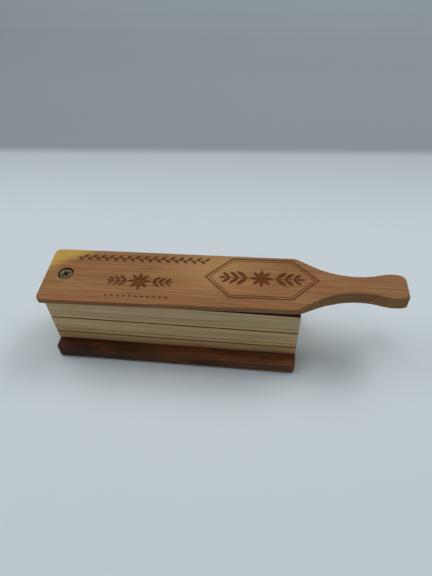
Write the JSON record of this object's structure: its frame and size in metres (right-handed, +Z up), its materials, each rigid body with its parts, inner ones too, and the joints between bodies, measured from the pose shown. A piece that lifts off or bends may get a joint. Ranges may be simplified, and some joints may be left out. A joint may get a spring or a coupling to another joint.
{
  "type": "friction box call",
  "caption": "Wooden friction box call: a hollow box on a wider base board, with a paddle lid that swings and lifts on a sprung screw.",
  "frame": {"origin": "centre of the base board's underside", "axes": "+X along the box towards the lid's handle, +Y towards the back, +Z up out of the resting face"},
  "size_m": [0.2358, 0.0564, 0.0589],
  "materials": {
    "red_lid_wood": "oiled, ornament burned dark",
    "pale_side_wood": "plain sanded",
    "dark_base_wood": "dark, satin oiled",
    "screw_brass": "dulled",
    "spring_steel": "bright wire"
  },
  "bodies": {
    "box": {"base_board": "dark_base_wood", "front_side_board": "pale_side_wood", "back_side_board": "pale_side_wood", "screw_end_block": "pale_side_wood", "handle_end_block": "pale_side_wood", "pivot_screw": "screw_brass"},
    "spring": {"tension_spring": "spring_steel"},
    "lid": {"lid": "red_lid_wood"}
  },
  "joints": [
    {"name": "lid_swing", "type": "hinge", "parent": "box", "child": "spring", "pos_m": [-0.0727, 0, 0.05], "axis": [0, 0, 1], "continuous": true},
    {"name": "lid_lift", "type": "hinge", "parent": "spring", "child": "lid", "pos_m": [-0.083, -0.00018, 0.0504], "axis": [0.018, -0.9998, 0], "range_deg": [0, 4], "stiffness_Nm_per_rad": 0.43, "springref_deg": -9.74, "deforming": ["tension_spring"]}
  ]
}
